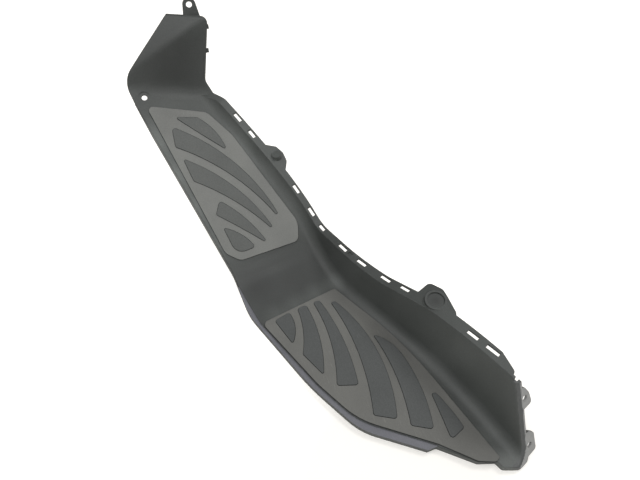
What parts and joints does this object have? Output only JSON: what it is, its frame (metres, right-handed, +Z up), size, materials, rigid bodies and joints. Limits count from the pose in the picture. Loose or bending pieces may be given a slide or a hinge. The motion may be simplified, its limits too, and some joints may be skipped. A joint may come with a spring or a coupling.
{
  "type": "scooter floorboard",
  "caption": "Left-hand moulded scooter floorboard with leaf-tread foot pads, a raised toe panel and a leaning tunnel wall with a slotted flange and screw lugs.",
  "frame": {"origin": "middle of the bounding box in plan, at the bottom of the turned-down edge under the rear floor", "axes": "+X towards the rear of the scooter, +Y inboard towards the tunnel, +Z up; the rear floor is level"},
  "size_m": [0.6192, 0.1736, 0.2648],
  "materials": {
    "plastic": "fine-grained moulded black plastic"
  },
  "bodies": {
    "root": {"floorboard": "plastic"}
  },
  "joints": []
}
